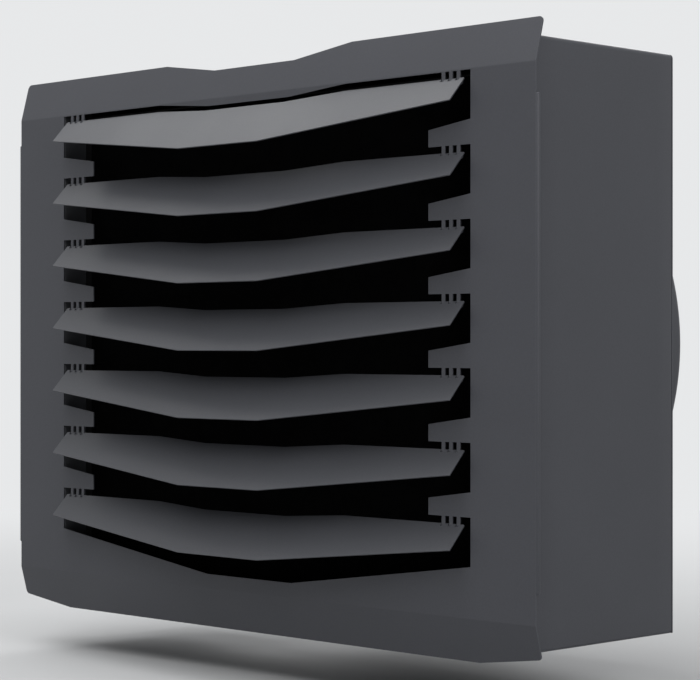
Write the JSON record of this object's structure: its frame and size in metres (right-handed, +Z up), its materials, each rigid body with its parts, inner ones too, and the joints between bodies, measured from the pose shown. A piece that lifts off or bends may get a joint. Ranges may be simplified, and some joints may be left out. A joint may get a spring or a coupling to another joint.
{
  "type": "ceiling mounted fan heater",
  "caption": "Box-shaped unit heater for a ceiling: bent sheet front with tilting louvers, a water coil behind them and a caged axial fan in a round rear cowl.",
  "frame": {"origin": "centre of the four hanging inserts, on their top faces", "axes": "+Z up, the louvers face -Y, +X runs along the louvers away from the pipe connections"},
  "size_m": [0.822, 0.4322, 0.6],
  "materials": {
    "case_paint": "satin anthracite powder coat",
    "louver_paint": "satin anthracite powder coat",
    "zinc_plate": "zinc plated sheet",
    "steel_screw": "zinc plated",
    "black_coat": "matte black powder coat",
    "coil_fins": "matte black coated fins",
    "copper_pipe": "dull drawn copper",
    "brass": "satin",
    "black_rubber": "matte",
    "motor_paint": "satin black",
    "bearing_steel": "ground steel",
    "blade_plastic": "matte black moulding",
    "box_plastic": "fine grained moulding",
    "white_plastic": "moulded"
  },
  "bodies": {
    "casing": {"front_frame": "case_paint", "casing_shell": "case_paint", "bottom_panel": "case_paint", "back_panel": "case_paint", "frame_nuts": "zinc_plate", "louver_hinge_pins": "zinc_plate", "outlet_liner_left": "black_coat", "outlet_liner_right": "black_coat", "coil_fin_pack": "coil_fins", "coil_tubes": "copper_pipe", "coil_return_bends": "copper_pipe", "coil_end_plate_left": "black_coat", "coil_end_plate_right": "black_coat", "coil_channel_top": "black_coat", "coil_channel_bottom": "black_coat", "supply_header": "copper_pipe", "return_header": "copper_pipe", "supply_connection": "brass", "return_connection": "brass", "pipe_grommets": "black_rubber", "air_vent_plug": "brass", "drain_plug": "brass", "fan_cowl": "case_paint", "bellmouth_ring": "black_coat", "fan_guard": "black_coat", "motor_stator": "motor_paint", "motor_bearing_front": "bearing_steel", "motor_bearing_rear": "bearing_steel", "hanging_channel_left": "zinc_plate", "hanging_channel_right": "zinc_plate", "hanging_inserts": "zinc_plate", "terminal_box": "box_plastic", "terminal_block": "white_plastic", "terminal_seal": "black_rubber", "terminal_lid": "box_plastic", "cable_gland": "box_plastic", "gland_nut": "box_plastic", "back_panel_screws": "steel_screw", "bottom_panel_screws": "steel_screw", "cowl_screws": "steel_screw", "guard_screws": "steel_screw", "motor_screws": "steel_screw", "terminal_lid_screws": "steel_screw"},
    "louver_1": {"louver_1": "louver_paint"},
    "louver_2": {"louver_2": "louver_paint"},
    "louver_3": {"louver_3": "louver_paint"},
    "louver_4": {"louver_4": "louver_paint"},
    "louver_5": {"louver_5": "louver_paint"},
    "louver_6": {"louver_6": "louver_paint"},
    "louver_7": {"louver_7": "louver_paint"},
    "fan_rotor": {"motor_shaft": "bearing_steel", "rotor_can": "motor_paint", "impeller": "blade_plastic"}
  },
  "joints": [
    {"name": "louver_1_tilt", "type": "hinge", "parent": "casing", "child": "louver_1", "pos_m": [0, -0.108, -0.0375], "axis": [1, 0, 0], "range_deg": [-42, 43]},
    {"name": "louver_2_tilt", "type": "hinge", "parent": "casing", "child": "louver_2", "pos_m": [0, -0.108, -0.1075], "axis": [1, 0, 0], "range_deg": [-42, 43]},
    {"name": "louver_3_tilt", "type": "hinge", "parent": "casing", "child": "louver_3", "pos_m": [0, -0.108, -0.1775], "axis": [1, 0, 0], "range_deg": [-42, 43]},
    {"name": "louver_4_tilt", "type": "hinge", "parent": "casing", "child": "louver_4", "pos_m": [0, -0.108, -0.2475], "axis": [1, 0, 0], "range_deg": [-42, 43]},
    {"name": "louver_5_tilt", "type": "hinge", "parent": "casing", "child": "louver_5", "pos_m": [0, -0.108, -0.3175], "axis": [1, 0, 0], "range_deg": [-42, 43]},
    {"name": "louver_6_tilt", "type": "hinge", "parent": "casing", "child": "louver_6", "pos_m": [0, -0.108, -0.3875], "axis": [1, 0, 0], "range_deg": [-42, 43]},
    {"name": "louver_7_tilt", "type": "hinge", "parent": "casing", "child": "louver_7", "pos_m": [0, -0.108, -0.4575], "axis": [1, 0, 0], "range_deg": [-42, 43]},
    {"name": "fan_spin", "type": "hinge", "parent": "casing", "child": "fan_rotor", "pos_m": [0, 0.228, -0.284], "axis": [0, 1, 0], "continuous": true}
  ]
}
